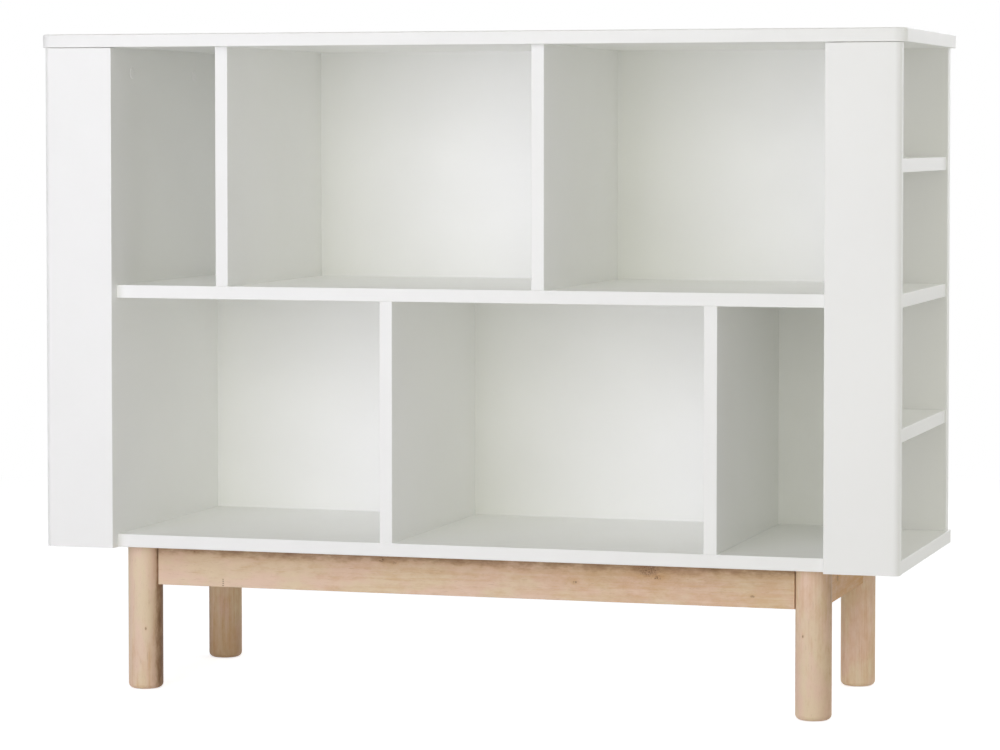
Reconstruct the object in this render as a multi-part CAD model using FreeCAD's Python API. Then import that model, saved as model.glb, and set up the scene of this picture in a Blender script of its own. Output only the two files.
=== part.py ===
import FreeCAD, Part
import math
import os
from FreeCAD import Vector

# A two-row bookcase of lacquered boards on a wooden frame with round legs. The dividers of
# the two rows are staggered, and each end is a tower of open niches between a wide front
# panel and a narrower rear panel.
#
# Millimetres. X runs along the width, Y from front to back, Z up. The origin is on the
# floor, in the middle of the width and of the depth.

# ---- Driving dimensions: body ----
overall_width = 1200.0  # the top board, end to end
overall_depth = 400.0  # front panels' faces to the back
board = 18.0  # thickness of every lacquered board
row_height = 325.0  # clear height of each of the two rows
narrow_bay = 145.0  # clear width of the narrow bay, upper left and lower right
middle_bay = 429.0  # clear width of the bay beside it
panel_width = 99.0  # front panel of an end tower
top_overhang = 6.0  # top board past the towers, each side
shadow_gap = 1.0  # between a front panel and the top board
rear_panel_recess = 3.5  # rear panel's outer edge behind the tower's side
niche_shelf_recess = 6.0  # niche shelf's outer edge behind the tower's side
niche_shelf_count = 3  # per tower
niche_spread = 3.5  # how much farther apart the niche shelves are than evenly spaced ones
back_thickness = 3.0
back_rabbet = 9.0  # how far the back reaches onto the boards round it

# ---- Driving dimensions: rounded edges ----
top_corner_radius = 15.0  # top board, seen from above
top_edge_radius = 2.0
panel_edge_radius = 8.0  # front panel's outer upright edge
eased_edge = 1.0  # every other exposed edge

# ---- Driving dimensions: wooden frame ----
leg_diameter = 48.0
leg_length = 199.0
leg_foot_radius = 7.0
leg_setback_front = 17.0  # leg's front behind the body's front
leg_setback_rear = 12.0  # leg's back before the body's back
leg_flat = 0.5  # depth of the flat that a rail's end seats on
rail_height = 54.0
rail_thickness = 22.0
glide_diameter = 22.0
glide_thickness = 3.0
glide_stand = 1.0  # glide below the leg

# ---- Driving dimensions: fittings ----
fit = 0.05  # radial clearance of a fitting in its hole
hole_relief = 1.0  # hole past the end of a dowel or screw

cam_diameter = 15.0
cam_height = 13.0
cam_chamfer = 0.5
cam_reach = 34.0  # seam to the cam's centre
cam_turn = 180.0  # degrees, from where the ball goes in, round to where it is gripped
cam_slot_width = 1.6
cam_slot_length = 9.0
cam_slot_depth = 1.5
cam_arrow_length = 1.4  # mark on the cam's face, which points to where the ball goes in
cam_arrow_width = 1.8
cam_arrow_depth = 0.4
cam_arrow_margin = 1.0
cap_diameter = 16.0  # plastic cover over a cam
cap_thickness = 0.8
cap_chamfer = 0.3
cap_stub_length = 1.2  # depth in the cam's cross
bolt_ball_diameter = 6.4
bolt_neck_diameter = 4.4
bolt_collar_diameter = 7.0
bolt_collar_length = 3.0
bolt_bore_diameter = 8.0
bolt_thread_diameter = 5.0
bolt_thread_length = 11.0
fitting_from_front = 58.0  # board's front edge to the first cam or screw
fitting_from_rear = 92.0  # back face to the second one
dowel_pitch = 32.0  # a dowel from the cam or screw beside it

dowel_diameter = 8.0
dowel_chamfer = 1.0
dowel_in_face = 11.0  # depth in a board's face
dowel_in_edge = 19.0  # depth in a board's edge

screw_head_diameter = 10.0
screw_head_height = 3.2
screw_shank_diameter = 7.0
screw_core_diameter = 5.0
screw_length = 50.0
screw_socket = 4.0  # hexagon, across its flats
screw_socket_depth = 2.6

frame_dowel_diameter = 10.0
frame_dowel_in_leg = 16.0
frame_dowel_in_rail = 25.0
frame_dowel_spacing = 24.0  # between the two dowels of a rail's end
frame_screw_length = 45.0
frame_screw_bite = 14.0  # depth in the bottom board
frame_screw_diameter = 4.0
frame_screw_head_diameter = 8.0
frame_screw_head_height = 2.4
frame_screw_cross_length = 4.4  # cross recess, tip to tip
frame_screw_cross_width = 1.0
frame_screw_cross_depth = 2.0
frame_counterbore_diameter = 10.0
long_rail_screw_inset = 90.0  # rail's end to its outer screws

back_screw_length = 16.0
back_screw_diameter = 2.5
back_screw_head_diameter = 5.0
back_screw_head_height = 1.4
back_screw_cross_length = 2.8
back_screw_cross_width = 0.7
back_screw_cross_depth = 1.1
back_screw_corner_inset = 150.0  # back panel's corner to the nearest screw in the top and bottom

# ---- Derived levels and planes ----
front = -overall_depth / 2
back = overall_depth / 2
body_front = front + board
back_face = back - back_thickness  # the back panel's front face
body_half = overall_width / 2 - top_overhang  # outer faces of the towers
inner_half = body_half - panel_width  # inner faces of the end walls
tower_wall = inner_half + board  # outer faces of the end walls

body_bottom = leg_length + glide_stand
floor_level = body_bottom + board  # top of the bottom board
shelf_bottom = floor_level + row_height
shelf_top = shelf_bottom + board
top_bottom = shelf_top + row_height
overall_height = top_bottom + board

# Divider centres: the lower row is the upper row turned half round.
outer_divider_x = inner_half - narrow_bay - board / 2
inner_divider_x = middle_bay + board - outer_divider_x

rear_panel_front = back - board
rear_panel_edge = body_half - rear_panel_recess
niche_shelf_edge = body_half - niche_shelf_recess
niche_middle = (tower_wall + niche_shelf_edge) / 2

# Tops of the boards over and under the niches, from the bottom board to the top board.
even_pitch = (overall_height - floor_level) / (niche_shelf_count + 1)
niche_tops = [floor_level]
for number in range(1, niche_shelf_count + 1):
    from_middle = number - (niche_shelf_count + 1) / 2
    niche_tops.append(floor_level + number * even_pitch + from_middle * niche_spread)
niche_tops.append(overall_height)

leg_radius = leg_diameter / 2
leg_x = inner_half - leg_radius
front_leg_y = body_front + leg_setback_front + leg_radius
rear_leg_y = back - leg_setback_rear - leg_radius
rail_seat = leg_radius - leg_flat  # leg's axis to a rail's end
rail_bottom = body_bottom - rail_height

front_fitting_y = body_front + fitting_from_front
rear_fitting_y = back - fitting_from_rear
fitting_ys = (front_fitting_y, rear_fitting_y)
dowel_ys = (front_fitting_y + dowel_pitch, rear_fitting_y - dowel_pitch)
middle_y = (front_fitting_y + rear_fitting_y) / 2

TOLERANCE = 0.01
ORIGIN = Vector(0, 0, 0)
X = Vector(1, 0, 0)
Y = Vector(0, 1, 0)
Z = Vector(0, 0, 1)

pieces = {}  # node name: its solid
fittings = {}  # node name: its separate solids


def box(x_range, y_range, z_range):
    """A board between the two limits given for each axis, in either order."""
    lows = [min(limits) for limits in (x_range, y_range, z_range)]
    highs = [max(limits) for limits in (x_range, y_range, z_range)]
    sizes = [high - low for low, high in zip(lows, highs)]
    return Part.makeBox(*sizes, Vector(*lows))


def edges_at(shape, direction, **plane):
    """The straight edges along 'x', 'y' or 'z' that lie in a plane such as y=front."""
    chosen = []
    for edge in shape.Edges:
        limits = edge.BoundBox
        spans = {"x": limits.XLength, "y": limits.YLength, "z": limits.ZLength}
        lows = {"x": limits.XMin, "y": limits.YMin, "z": limits.ZMin}
        is_along = all(spans[name] < TOLERANCE for name in spans if name != direction)
        is_in_plane = all(abs(lows[name] - level) < TOLERANCE for name, level in plane.items())
        if is_along and is_in_plane:
            chosen.append(edge)
    return chosen


def face_rim(shape, level):
    """The edges round a board's flat top or underside, arcs and all."""
    return [
        edge
        for edge in shape.Edges
        if edge.BoundBox.ZLength < TOLERANCE and abs(edge.BoundBox.ZMin - level) < TOLERANCE
    ]


def turned(profile, seat, direction):
    """A turned solid. The profile is (radius, distance along direction from the seat)."""
    points = [Vector(radius, 0, distance) for radius, distance in profile]
    outline = Part.makePolygon(points + points[:1])
    return placed(Part.Face(outline).revolve(ORIGIN, Z, 360), seat, direction)


def placed(solid, seat, direction):
    """Moves what was made about Z at the origin to the seat, with Z along direction."""
    solid.Placement = FreeCAD.Placement(seat, FreeCAD.Rotation(Z, direction))
    return solid


def prism(points, height):
    """A flat outline of straight edges, raised along Z."""
    return Part.Face(Part.makePolygon(points + points[:1])).extrude(Z * height)


def rod(diameter, start, length, direction):
    return Part.makeCylinder(diameter / 2, length, start, direction)


def drill(name, tool):
    pieces[name] = pieces[name].cut(tool)


def fasten(group, solid):
    fittings.setdefault(group, []).append(solid)


# ---- Joints ----


def dowel_joint(
    face_board, edge_board, seat, direction, group="board_dowels",
    diameter=dowel_diameter, face_depth=dowel_in_face, edge_depth=dowel_in_edge,
):
    """A glued dowel across the seam at seat. The direction points into edge_board."""
    hole = diameter + 2 * fit
    drill(face_board, rod(hole, seat, face_depth + hole_relief, -direction))
    drill(edge_board, rod(hole, seat, edge_depth + hole_relief, direction))
    radius = diameter / 2
    tip = radius - dowel_chamfer
    profile = [
        (0, -face_depth),
        (tip, -face_depth),
        (radius, -face_depth + dowel_chamfer),
        (radius, edge_depth - dowel_chamfer),
        (tip, edge_depth),
        (0, edge_depth),
    ]
    fasten(group, turned(profile, seat, direction))


def cross_slots(length, width, z_range):
    """Two slots across each other, about Z."""
    first = box((-length / 2, length / 2), (-width / 2, width / 2), z_range)
    second = box((-width / 2, width / 2), (-length / 2, length / 2), z_range)
    return first.fuse(second)


def cross_recess(length, width, depth, seat, direction):
    """The hole for a cross driver in a screw's head. It tapers to a point along direction."""
    taper = Part.makeCone(length / 2, width / 2, depth)
    return placed(cross_slots(length, width, (0, depth)).common(taper), seat, direction)


def hexagon_socket(across_flats, depth, seat, direction):
    corner = X * (across_flats / math.sqrt(3))
    corners = [FreeCAD.Rotation(Z, 60 * number).multVec(corner) for number in range(6)]
    return placed(prism(corners, depth), seat, direction)


def cam_solid():
    """A cam lock about Z, turned tight on a bolt that comes from +X, its ball at the origin.

    The ball goes in through a round hole in the cam's side. From there a slot runs round the
    side, wide enough for the bolt's neck only, and inside it the scroll, an eccentric round
    pocket above and below the slot, closes in on the ball until it grips it.
    """
    radius = cam_diameter / 2 - fit
    face = board / 2
    low = face - cam_height
    profile = [
        (0, face),
        (radius, face),
        (radius, low + cam_chamfer),
        (radius - cam_chamfer, low),
        (0, low),
    ]
    ball = bolt_ball_diameter / 2
    ball_room = ball + 2 * fit
    neck_room = bolt_neck_diameter / 2 + 2 * fit
    grip = math.sqrt(ball**2 - neck_room**2) + fit
    scroll_radius = (grip + ball_room) / 2
    way_in = FreeCAD.Rotation(Z, cam_turn).multVec(X)
    scroll_centre = way_in * (scroll_radius - grip)
    slot_low = Z * -neck_room
    arrow_tip = way_in * (radius - cam_arrow_margin) + Z * (face - cam_arrow_depth)
    arrow_base = arrow_tip - way_in * cam_arrow_length
    arrow_side = Z.cross(way_in) * (cam_arrow_width / 2)
    cuts = [
        Part.makeCylinder(ball_room, 2 * neck_room, slot_low),
        Part.makeCylinder(cam_diameter, 2 * neck_room, slot_low, Z, cam_turn),
        Part.makeCylinder(scroll_radius, 2 * ball_room, scroll_centre - Z * ball_room),
        rod(2 * ball_room, ORIGIN, cam_diameter, way_in),
        rod(2 * neck_room, ORIGIN, cam_diameter, X),
        cross_slots(cam_slot_length, cam_slot_width, (face - cam_slot_depth, face)),
        prism([arrow_tip, arrow_base + arrow_side, arrow_base - arrow_side], cam_arrow_depth),
    ]
    return turned(profile, ORIGIN, Z).cut(cuts)


def cap_solid():
    """A cover for the cam about Z. Its stub sits in the cam's cross."""
    radius = cap_diameter / 2
    face = board / 2
    profile = [
        (0, face),
        (radius, face),
        (radius, face + cap_thickness - cap_chamfer),
        (radius - cap_chamfer, face + cap_thickness),
        (0, face + cap_thickness),
    ]
    stub_levels = (face - cap_stub_length, face)
    stub = cross_slots(cam_slot_length - 2 * fit, cam_slot_width - 2 * fit, stub_levels)
    return turned(profile, ORIGIN, Z).fuse(stub).removeSplitter()


def cam_joint(bolted_board, cam_board, seat, inward, opening):
    """A bolt in bolted_board's face, drawn in by a cam let into cam_board near the seam.

    The seat is in the middle of cam_board's thickness, inward points from the seam into
    cam_board, and the cam's bore opens to the face that looks along opening.
    """
    centre = seat + inward * cam_reach
    bore_start = centre + opening * (board / 2)
    drill(cam_board, rod(cam_diameter, bore_start, cam_height + fit, -opening))
    drill(cam_board, rod(bolt_bore_diameter, seat, cam_reach, inward))
    thread_hole = bolt_thread_diameter + 2 * fit
    drill(bolted_board, rod(thread_hole, seat, bolt_thread_length + hole_relief, -inward))
    turn = FreeCAD.Rotation(-inward, inward.cross(opening), opening, "ZXY")
    for group, solid in (("cam_locks", cam_solid()), ("cam_caps", cap_solid())):
        solid.Placement = FreeCAD.Placement(centre, turn)
        fasten(group, solid)
    profile = [
        (0, -bolt_thread_length),
        (bolt_thread_diameter / 2, -bolt_thread_length),
        (bolt_thread_diameter / 2, 0),
        (bolt_collar_diameter / 2, 0),
        (bolt_collar_diameter / 2, bolt_collar_length),
        (bolt_neck_diameter / 2, bolt_collar_length),
        (bolt_neck_diameter / 2, cam_reach),
        (0, cam_reach),
    ]
    ball = Part.makeSphere(bolt_ball_diameter / 2, centre)
    fasten("cam_bolts", turned(profile, seat, inward).fuse(ball).removeSplitter())


def countersunk_profile(head_diameter, head_height, shank_diameter, length, clearance=0.0):
    """Head flush with the seat, plain shank to the given length."""
    return [
        (0, 0),
        (head_diameter / 2 + clearance, 0),
        (shank_diameter / 2 + clearance, head_height + clearance),
        (shank_diameter / 2 + clearance, length),
        (0, length),
    ]


def board_screw(edge_board, x, y):
    """A countersunk stepped screw, up through the bottom board into a board's end."""
    seat = Vector(x, y, body_bottom)
    head = (screw_head_diameter, screw_head_height, screw_shank_diameter)
    drill("bottom_board", turned(countersunk_profile(*head, board, fit), seat, Z))
    core_hole = screw_core_diameter + 2 * fit
    core_start = seat + Z * board
    drill(edge_board, rod(core_hole, core_start, screw_length - board + hole_relief, Z))
    screw = turned(countersunk_profile(*head, board), seat, Z)
    core = rod(screw_core_diameter, core_start, screw_length - board, Z)
    socket = hexagon_socket(screw_socket, screw_socket_depth, seat, Z)
    fasten("board_screws", screw.fuse(core).removeSplitter().cut(socket))


def frame_screw(rail, x, y):
    """A wood screw, up a counterbore in the rail and into the bottom board."""
    head_level = body_bottom + frame_screw_bite - frame_screw_length
    head_seat = Vector(x, y, head_level)
    bore_start = Vector(x, y, rail_bottom)
    drill(rail, rod(frame_counterbore_diameter, bore_start, head_level - rail_bottom, Z))
    head = (frame_screw_head_diameter, frame_screw_head_height, frame_screw_diameter)
    drill(rail, turned(countersunk_profile(*head, body_bottom - head_level, fit), head_seat, Z))
    pilot = frame_screw_diameter + 2 * fit
    pilot_start = Vector(x, y, body_bottom)
    drill("bottom_board", rod(pilot, pilot_start, frame_screw_bite + fit, Z))
    screw = turned(countersunk_profile(*head, frame_screw_length), head_seat, Z)
    cross = (frame_screw_cross_length, frame_screw_cross_width, frame_screw_cross_depth)
    fasten("frame_screws", screw.cut(cross_recess(*cross, head_seat, Z)))


def back_screw(held_by, x, z):
    """A small countersunk screw, through the back panel into a board's rear edge."""
    seat = Vector(x, back, z)
    head = (back_screw_head_diameter, back_screw_head_height, back_screw_diameter)
    drill("back_panel", turned(countersunk_profile(*head, back_thickness, fit), seat, -Y))
    pilot = back_screw_diameter + 2 * fit
    pilot_start = seat - Y * back_thickness
    drill(held_by, rod(pilot, pilot_start, back_screw_length - back_thickness + fit, -Y))
    screw = turned(countersunk_profile(*head, back_screw_length), seat, -Y)
    cross = (back_screw_cross_length, back_screw_cross_width, back_screw_cross_depth)
    fasten("back_screws", screw.cut(cross_recess(*cross, seat, -Y)))


# ---- Boards of the body ----


def make_top_board():
    top = box(
        (-overall_width / 2, overall_width / 2), (front, back), (top_bottom, overall_height)
    )
    top = top.makeFillet(top_corner_radius, edges_at(top, "z"))
    top = top.makeFillet(top_edge_radius, face_rim(top, overall_height))
    top = top.makeFillet(eased_edge, face_rim(top, top_bottom))
    pieces["top_board"] = top.cut(back_recess(top_bottom, top_bottom + back_rabbet))


def make_bottom_board():
    bottom = box((-body_half, body_half), (body_front, back), (body_bottom, floor_level))
    ends = [edge for side in (-body_half, body_half) for edge in edges_at(bottom, "y", x=side)]
    bottom = bottom.makeFillet(eased_edge, ends + edges_at(bottom, "x", y=body_front))
    pieces["bottom_board"] = bottom.cut(back_recess(floor_level - back_rabbet, floor_level))


def back_recess(low, high):
    """The rabbet that takes the back panel's upper or lower edge."""
    half = inner_half + back_rabbet
    return box((-half, half), (back_face, back), (low, high))


def make_middle_shelf():
    shelf = box((-inner_half, inner_half), (body_front, back_face), (shelf_bottom, shelf_top))
    pieces["middle_shelf"] = shelf.makeFillet(eased_edge, edges_at(shelf, "x", y=body_front))


def make_divider(name, x, low, high):
    divider = box((x - board / 2, x + board / 2), (body_front, back_face), (low, high))
    pieces[name] = divider.makeFillet(eased_edge, edges_at(divider, "z", y=body_front))


def make_back_panel():
    half = inner_half + back_rabbet
    levels = (floor_level - back_rabbet, top_bottom + back_rabbet)
    pieces["back_panel"] = box((-half, half), (back_face, back), levels)


def make_tower(name, side):
    """The four kinds of board at one end. The side is -1 for left and 1 for right."""
    wall = box((side * inner_half, side * tower_wall), (body_front, back), (floor_level, top_bottom))
    rabbet = box(
        (side * inner_half, side * (inner_half + back_rabbet)),
        (back_face, back),
        (floor_level, top_bottom),
    )
    pieces[name + "_end_wall"] = wall.cut(rabbet)

    panel = box(
        (side * inner_half, side * body_half),
        (front, body_front),
        (body_bottom, top_bottom - shadow_gap),
    )
    panel = panel.makeFillet(panel_edge_radius, edges_at(panel, "z", x=side * body_half, y=front))
    panel = panel.makeFillet(eased_edge, edges_at(panel, "z", x=side * inner_half, y=front))
    pieces[name + "_front_panel"] = panel

    rear = box(
        (side * tower_wall, side * rear_panel_edge),
        (rear_panel_front, back),
        (floor_level, top_bottom),
    )
    outer_edges = edges_at(rear, "z", x=side * rear_panel_edge)
    pieces[name + "_rear_panel"] = rear.makeFillet(eased_edge, outer_edges)

    for number, top_level in enumerate(niche_tops[1:-1], start=1):
        shelf = box(
            (side * tower_wall, side * niche_shelf_edge),
            (body_front, rear_panel_front),
            (top_level - board, top_level),
        )
        outer_edges = edges_at(shelf, "y", x=side * niche_shelf_edge)
        shelf_name = f"{name}_niche_shelf_{number}"
        pieces[shelf_name] = shelf.makeFillet(eased_edge, outer_edges)
        join_niche_shelf(name, shelf_name, side * niche_middle, top_level - board / 2)
    join_tower(name, side)


# ---- What joins the body's boards ----


def join_niche_shelf(tower, shelf_name, x, z):
    dowel_joint(tower + "_front_panel", shelf_name, Vector(x, body_front, z), Y)
    dowel_joint(tower + "_rear_panel", shelf_name, Vector(x, rear_panel_front, z), -Y)


def join_tower(tower, side):
    """Dowels along the end wall, halfway up each niche, hold the front and rear panels."""
    wall = tower + "_end_wall"
    wall_x = side * (inner_half + tower_wall) / 2
    rear_y = (rear_panel_front + back) / 2
    for number in range(0, niche_shelf_count + 1, niche_shelf_count // 2 or 1):
        z = (niche_tops[number] + niche_tops[number + 1] - board) / 2
        dowel_joint(tower + "_front_panel", wall, Vector(wall_x, body_front, z), Y)
        dowel_joint(wall, tower + "_rear_panel", Vector(side * tower_wall, rear_y, z), X * side)
    panel_seat = Vector(side * niche_middle, body_front, (body_bottom + floor_level) / 2)
    dowel_joint(tower + "_front_panel", "bottom_board", panel_seat, Y)
    top_seat = Vector(side * niche_middle, rear_y, top_bottom)
    dowel_joint("top_board", tower + "_rear_panel", top_seat, -Z)
    board_screw(tower + "_rear_panel", side * niche_middle, rear_y)
    for y in fitting_ys:
        cam_joint("top_board", wall, Vector(wall_x, y, top_bottom), -Z, X * -side)
        board_screw(wall, wall_x, y)
    for y in dowel_ys:
        dowel_joint("top_board", wall, Vector(wall_x, y, top_bottom), -Z)
    dowel_joint("bottom_board", wall, Vector(wall_x, middle_y, floor_level), Z)


def join_middle_shelf():
    z = (shelf_bottom + shelf_top) / 2
    for wall, side in (("left_end_wall", -1), ("right_end_wall", 1)):
        for y in fitting_ys:
            cam_joint(wall, "middle_shelf", Vector(side * inner_half, y, z), X * -side, -Z)
        dowel_joint(wall, "middle_shelf", Vector(side * inner_half, middle_y, z), X * -side)


def join_upper_divider(name, x):
    for y in fitting_ys:
        cam_joint("top_board", name, Vector(x, y, top_bottom), -Z, -X)
        dowel_joint("middle_shelf", name, Vector(x, y, shelf_top), Z)
    dowel_joint("top_board", name, Vector(x, middle_y, top_bottom), -Z)


def join_lower_divider(name, x):
    for y in fitting_ys:
        board_screw(name, x, y)
        dowel_joint("middle_shelf", name, Vector(x, y, shelf_bottom), -Z)
    dowel_joint("bottom_board", name, Vector(x, middle_y, floor_level), Z)


def join_back_panel():
    half = inner_half + back_rabbet
    edge_z = {
        "top_board": top_bottom + back_rabbet / 2,
        "bottom_board": floor_level - back_rabbet / 2,
        "middle_shelf": (shelf_bottom + shelf_top) / 2,
    }
    for name, z in edge_z.items():
        for x in (-half + back_screw_corner_inset, half - back_screw_corner_inset):
            back_screw(name, x, z)
    for tower, side in (("left", -1), ("right", 1)):
        for row_middle in (floor_level + row_height / 2, shelf_top + row_height / 2):
            back_screw(tower + "_end_wall", side * (inner_half + back_rabbet / 2), row_middle)


# ---- Wooden frame ----


def make_leg(name, x, y, side, end):
    """A round leg. Its two flats look inward, against side and against end."""
    leg = rod(leg_diameter, Vector(x, y, glide_stand), leg_length, Z)
    leg = leg.makeFillet(leg_foot_radius, face_rim(leg, glide_stand))
    seat_levels = (rail_bottom, body_bottom)
    flat_x = (x - side * rail_seat, x - side * leg_radius)
    flat_y = (y - end * rail_seat, y - end * leg_radius)
    leg = leg.cut(box(flat_x, (y - leg_radius, y + leg_radius), seat_levels))
    leg = leg.cut(box((x - leg_radius, x + leg_radius), flat_y, seat_levels))
    recess_depth = glide_thickness - glide_stand
    leg = leg.cut(rod(glide_diameter + 2 * fit, Vector(x, y, glide_stand), recess_depth, Z))
    pieces[name] = leg
    fasten("leg_glides", rod(glide_diameter, Vector(x, y, 0), glide_thickness, Z))


def make_long_rail(name, y):
    end = leg_x - rail_seat
    levels = (rail_bottom, body_bottom)
    rail = box((-end, end), (y - rail_thickness / 2, y + rail_thickness / 2), levels)
    pieces[name] = rail.makeFillet(eased_edge, edges_at(rail, "x", z=rail_bottom))
    screw_x = end - long_rail_screw_inset
    for x in (-screw_x, 0, screw_x):
        frame_screw(name, x, y)


def make_side_rail(name, x):
    ends = (front_leg_y + rail_seat, rear_leg_y - rail_seat)
    levels = (rail_bottom, body_bottom)
    rail = box((x - rail_thickness / 2, x + rail_thickness / 2), ends, levels)
    pieces[name] = rail.makeFillet(eased_edge, edges_at(rail, "y", z=rail_bottom))
    frame_screw(name, x, sum(ends) / 2)


def join_frame():
    rail_middle = rail_bottom + rail_height / 2
    sizes = {
        "group": "frame_dowels",
        "diameter": frame_dowel_diameter,
        "face_depth": frame_dowel_in_leg,
        "edge_depth": frame_dowel_in_rail,
    }
    for end_name, end, y in (("front", -1, front_leg_y), ("rear", 1, rear_leg_y)):
        for side_name, side in (("left", -1), ("right", 1)):
            leg = f"{end_name}_{side_name}_leg"
            for step in (-0.5, 0.5):
                z = rail_middle + step * frame_dowel_spacing
                long_seat = Vector(side * (leg_x - rail_seat), y, z)
                dowel_joint(leg, end_name + "_rail", long_seat, X * -side, **sizes)
                side_seat = Vector(side * leg_x, y - end * rail_seat, z)
                dowel_joint(leg, side_name + "_rail", side_seat, Y * -end, **sizes)


# ---- The whole ----


def make_body():
    make_top_board()
    make_bottom_board()
    make_middle_shelf()
    make_back_panel()
    make_tower("left", -1)
    make_tower("right", 1)
    join_middle_shelf()
    upper = {"upper_left_divider": -outer_divider_x, "upper_right_divider": inner_divider_x}
    lower = {"lower_left_divider": -inner_divider_x, "lower_right_divider": outer_divider_x}
    for name, x in upper.items():
        make_divider(name, x, shelf_top, top_bottom)
        join_upper_divider(name, x)
    for name, x in lower.items():
        make_divider(name, x, floor_level, shelf_bottom)
        join_lower_divider(name, x)
    join_back_panel()


def make_frame():
    for end_name, end, y in (("front", -1, front_leg_y), ("rear", 1, rear_leg_y)):
        for side_name, side in (("left", -1), ("right", 1)):
            make_leg(f"{end_name}_{side_name}_leg", side * leg_x, y, side, end)
        make_long_rail(end_name + "_rail", y)
    make_side_rail("left_rail", -leg_x)
    make_side_rail("right_rail", leg_x)
    join_frame()


def write_parts():
    os.makedirs("parts", exist_ok=True)
    for name, shape in pieces.items():
        shape.exportStep(f"parts/{name}.step")
    for name, solids in fittings.items():
        Part.makeCompound(solids).exportStep(f"parts/{name}.step")
    print(len(pieces) + len(fittings), "nodes")


make_body()
make_frame()
write_parts()
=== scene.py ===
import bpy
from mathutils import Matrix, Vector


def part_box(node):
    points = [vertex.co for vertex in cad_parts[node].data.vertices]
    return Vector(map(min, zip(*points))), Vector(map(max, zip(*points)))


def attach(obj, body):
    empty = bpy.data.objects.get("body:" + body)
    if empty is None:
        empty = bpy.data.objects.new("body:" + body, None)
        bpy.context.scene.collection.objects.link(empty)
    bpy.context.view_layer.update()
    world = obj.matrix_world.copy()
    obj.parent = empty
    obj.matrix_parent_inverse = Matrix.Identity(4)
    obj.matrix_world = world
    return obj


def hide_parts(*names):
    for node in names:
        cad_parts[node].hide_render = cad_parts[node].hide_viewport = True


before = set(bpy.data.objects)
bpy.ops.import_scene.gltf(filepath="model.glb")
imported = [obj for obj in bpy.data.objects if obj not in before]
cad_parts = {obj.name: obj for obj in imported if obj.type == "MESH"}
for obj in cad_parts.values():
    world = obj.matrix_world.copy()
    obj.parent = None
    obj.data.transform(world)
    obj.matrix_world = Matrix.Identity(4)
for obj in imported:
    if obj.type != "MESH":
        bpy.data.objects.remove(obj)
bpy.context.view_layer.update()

import math
import random
from typing import NamedTuple

import bmesh
import bpy
from bpy.props import FloatProperty, FloatVectorProperty, IntProperty, PointerProperty
from mathutils import Matrix, Vector

bl_info = {
    "name": "Double bookcase with end niches",
    "version": (1, 0, 0),
    "blender": (4, 5, 0),
    "location": "View3D > Sidebar > Bookcase",
    "description": "Finishes, fittings and stage for a two-row bookcase on a round-legged frame",
    "category": "Object",
}

# ---- Levels and planes, read from the loaded frame (metres) ----

MM = 0.001
TOP_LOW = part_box("top_board")[0]
BASE_LOW, BASE_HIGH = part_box("bottom_board")
SHELF_LOW, SHELF_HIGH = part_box("middle_shelf")
WALL_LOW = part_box("right_end_wall")[0]
BACK_LOW, BACK_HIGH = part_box("back_panel")
RAIL_LOW, RAIL_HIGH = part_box("front_rail")
LEG_LOW, LEG_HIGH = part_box("front_right_leg")

FITTING_YS = (BASE_LOW.y + 58 * MM, BASE_HIGH.y - 92 * MM)  # the front and the rear row
CAM_REACH = 34 * MM  # from the end of a board to the middle of its cam lock
FRAME_SCREW_LEVEL = BASE_LOW.z - 31 * MM  # the heads, up in the rails' counterbores
FRAME_SCREW_INSET = 90 * MM  # from the end of a rail
BACK_SCREW_INSET = 150 * MM  # from the side of the back
BACK_LAP = 9 * MM  # how much of the back lies on the boards round it

# ---- Colours of the fittings ----

ZINC = (0.62, 0.62, 0.60)
STEEL = (0.60, 0.60, 0.58)
POLYTHENE = (0.93, 0.93, 0.915)
FELT = (0.30, 0.29, 0.27)

# ---- The stage, in metres ----

WHITE = (1.0, 1.0, 1.0)
COOL = (0.86, 0.85, 1.0)  # the tint of the key, side and back lamps
WARM = (0.99, 1.0, 0.88)  # the tint of the front, high and rear lamps
ROOM = (1.0, 0.973, 0.84)  # the tint of the light from all round
LAMPS = {  # each one's place, its size and its tint
    "key_lamp": ((-1.016, -2.792, 0.918), 2.0, COOL),
    "front_lamp": ((1.123, -6.366, 1.179), 4.1, WARM),
    "side_lamp": ((3.853, -0.679, 1.332), 2.5, COOL),
    "high_lamp": ((0.614, -3.482, 4.036), 2.5, WARM),
    "rear_lamp": ((3.255, 1.185, 2.500), 2.0, WARM),
    "back_lamp": ((0.400, 4.700, 1.700), 2.5, COOL),
}
LAMP_AIM = (0, 0, 0.5)  # the middle of the object, which every lamp faces
FLOOR_SIZE = 24
FLOOR_TONES = ((0.80, 0.80, 0.79), (0.82, 0.82, 0.81))
FLOOR_SHADOW = (0.80, 0.81, 0.85)  # the part of the floor's colour that a shadow darkens
FLOOR_GLOW = 0.73  # the part that no shadow darkens
SHADOW_ENDS = (1500.0, 3200.0)  # shadows fade out between these, in millimetres from the middle
LIGHT_BOUNCES = 12
CAMERA_SHIFT = -0.09  # of the picture's width, upwards

LEGS = ("front_left_leg", "front_right_leg", "rear_left_leg", "rear_right_leg")
WALLS_SCREWED = ("left_end_wall", "right_end_wall", "lower_left_divider", "lower_right_divider")
BOARDS = (
    "top_board", "bottom_board", "middle_shelf",
    "left_end_wall", "right_end_wall",
    "left_front_panel", "right_front_panel", "left_rear_panel", "right_rear_panel",
    "upper_left_divider", "upper_right_divider", "lower_left_divider", "lower_right_divider",
) + tuple(f"{side}_niche_shelf_{n}" for side in ("left", "right") for n in (1, 2, 3))


def middle(node):
    """The middle of a node's box."""
    low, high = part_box(node)
    return (low + high) / 2


# ---- Shader nodes ----


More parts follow.
